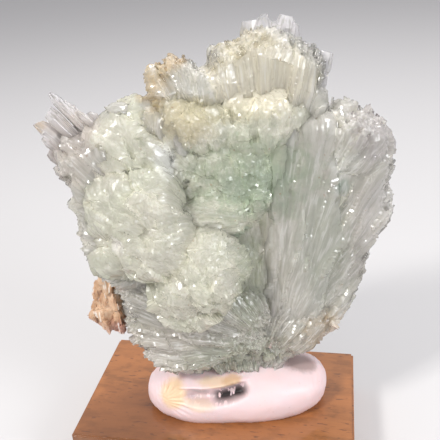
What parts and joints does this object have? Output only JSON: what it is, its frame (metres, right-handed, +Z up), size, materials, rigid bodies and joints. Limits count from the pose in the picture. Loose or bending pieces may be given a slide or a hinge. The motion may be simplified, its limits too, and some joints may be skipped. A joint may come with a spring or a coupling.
{
  "type": "blue aragonite specimen on a block",
  "caption": "Pale mint sprays of radiating aragonite crystals, held upright in white putty on a varnished wooden block.",
  "frame": {"origin": "centre of the block's underside", "axes": "+Z up, +X along the block's long side to the viewer's right, +Y away from the viewer"},
  "size_m": [0.1101, 0.0583, 0.1581],
  "materials": {
    "aragonite": "milky pale mint crystal, vitreous, clear at the tips, stained yellow in places",
    "matrix": "rough orange-brown and pinkish rock",
    "putty": "soft white putty with finger folds, stained ochre",
    "block_wood": "varnished, glossy, with short dark pores"
  },
  "bodies": {
    "root": {"aragonite_cluster": "aragonite", "stained_matrix": "matrix", "mounting_putty": "putty", "wooden_block": "block_wood"}
  },
  "joints": []
}
